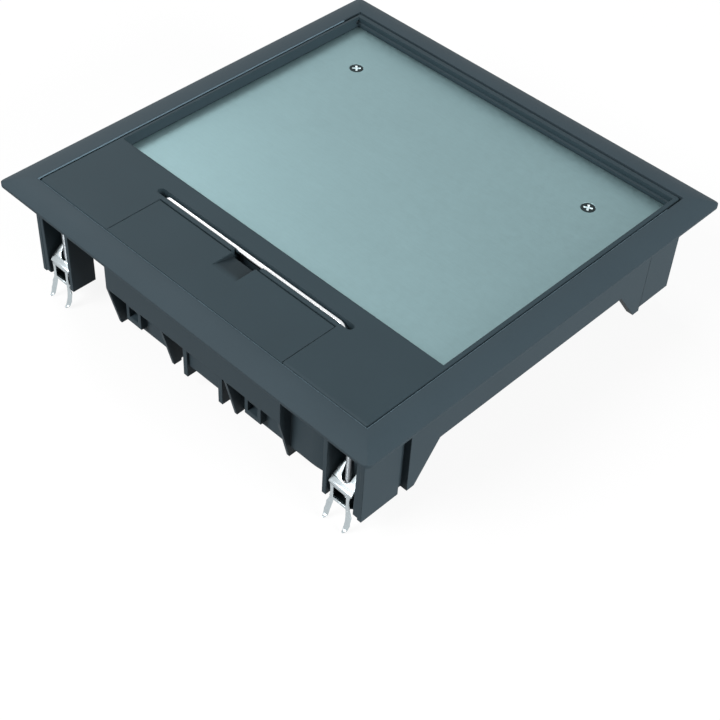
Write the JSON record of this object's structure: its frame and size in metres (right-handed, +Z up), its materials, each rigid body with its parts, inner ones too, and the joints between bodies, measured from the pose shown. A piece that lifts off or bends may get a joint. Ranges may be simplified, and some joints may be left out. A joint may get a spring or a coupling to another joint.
{
  "type": "floor socket box",
  "caption": "Square in-floor socket box: arched frame, hinged lid with steel inlay, cable flap, pull-up bar, device cups and screw-driven floor claws.",
  "frame": {"origin": "centre of the box, on the surface that the toes of its claws stand on", "axes": "+X to the right along the cable-outlet edge, +Y towards the lid's hinge, +Z up out of the floor"},
  "size_m": [0.264, 0.264, 0.075],
  "materials": {
    "frame_plastic": "fine-grained dark blue-grey polyamide",
    "lid_plastic": "fine-grained dark blue-grey polyamide",
    "cup_plastic": "plain dark grey moulding",
    "socket_plastic": "satin black moulding",
    "foam": "closed-cell foam strip",
    "steel_plate": "matt zinc-coated sheet",
    "polished_steel": "polished round wire",
    "zinc_steel": "bright zinc",
    "spring_steel": "bright zinc-plated spring steel",
    "pin_steel": "plain steel pin"
  },
  "bodies": {
    "base": {"frame": "frame_plastic", "lid_seal": "foam", "lid_hinge_pin_left": "pin_steel", "lid_hinge_pin_right": "pin_steel", "device_cup_left": "cup_plastic", "device_cup_centre": "cup_plastic", "socket_block_left": "socket_plastic", "socket_block_centre": "socket_plastic", "earth_clips_left": "spring_steel", "earth_clips_centre": "spring_steel"},
    "lid": {"lid_tray": "lid_plastic", "lid_plate": "steel_plate", "lid_plate_screws": "zinc_steel", "cable_flap_pins": "pin_steel"},
    "flap": {"cable_flap": "lid_plastic"},
    "handle": {"handle_bar": "polished_steel", "handle_clips": "zinc_steel"},
    "claw_front_right": {"claw_front_right": "spring_steel", "claw_nut_front_right": "zinc_steel"},
    "screw_front_right": {"claw_screw_front_right": "zinc_steel"},
    "claw_front_left": {"claw_front_left": "spring_steel", "claw_nut_front_left": "zinc_steel"},
    "screw_front_left": {"claw_screw_front_left": "zinc_steel"},
    "claw_back_right": {"claw_back_right": "spring_steel", "claw_nut_back_right": "zinc_steel"},
    "screw_back_right": {"claw_screw_back_right": "zinc_steel"},
    "claw_back_left": {"claw_back_left": "spring_steel", "claw_nut_back_left": "zinc_steel"},
    "screw_back_left": {"claw_screw_back_left": "zinc_steel"}
  },
  "joints": [
    {"name": "lid_hinge", "type": "hinge", "parent": "base", "child": "lid", "pos_m": [0, 0.1125, 0.0717], "axis": [-1, 0, 0], "range_deg": [0, 105]},
    {"name": "flap_hinge", "type": "hinge", "parent": "lid", "child": "flap", "pos_m": [0, -0.0845, 0.0731], "axis": [-1, 0, 0], "range_deg": [0, 75]},
    {"name": "handle_slide", "type": "slide", "parent": "lid", "child": "handle", "axis": [0, 0, 1], "range_m": [0, 0.014]},
    {"name": "screw_front_right_turn", "type": "hinge", "parent": "base", "child": "screw_front_right", "pos_m": [0.105, -0.1135, 0.0585], "axis": [0, 0, -1], "range_deg": [0, 9260]},
    {"name": "claw_front_right_slide", "type": "slide", "parent": "base", "child": "claw_front_right", "axis": [0, 0, 1], "range_m": [0, 0.018]},
    {"name": "screw_front_left_turn", "type": "hinge", "parent": "base", "child": "screw_front_left", "pos_m": [-0.105, -0.1135, 0.0585], "axis": [0, 0, -1], "range_deg": [0, 9260]},
    {"name": "claw_front_left_slide", "type": "slide", "parent": "base", "child": "claw_front_left", "axis": [0, 0, 1], "range_m": [0, 0.018]},
    {"name": "screw_back_right_turn", "type": "hinge", "parent": "base", "child": "screw_back_right", "pos_m": [0.105, 0.1135, 0.0585], "axis": [0, 0, -1], "range_deg": [0, 9260]},
    {"name": "claw_back_right_slide", "type": "slide", "parent": "base", "child": "claw_back_right", "axis": [0, 0, 1], "range_m": [0, 0.018]},
    {"name": "screw_back_left_turn", "type": "hinge", "parent": "base", "child": "screw_back_left", "pos_m": [-0.105, 0.1135, 0.0585], "axis": [0, 0, -1], "range_deg": [0, 9260]},
    {"name": "claw_back_left_slide", "type": "slide", "parent": "base", "child": "claw_back_left", "axis": [0, 0, 1], "range_m": [0, 0.018]}
  ],
  "couplings": [
    {"joint": "screw_front_right_turn", "follows": "claw_front_right_slide", "rad_per_m": 8976},
    {"joint": "screw_front_left_turn", "follows": "claw_front_left_slide", "rad_per_m": 8976},
    {"joint": "screw_back_right_turn", "follows": "claw_back_right_slide", "rad_per_m": 8976},
    {"joint": "screw_back_left_turn", "follows": "claw_back_left_slide", "rad_per_m": 8976}
  ]
}
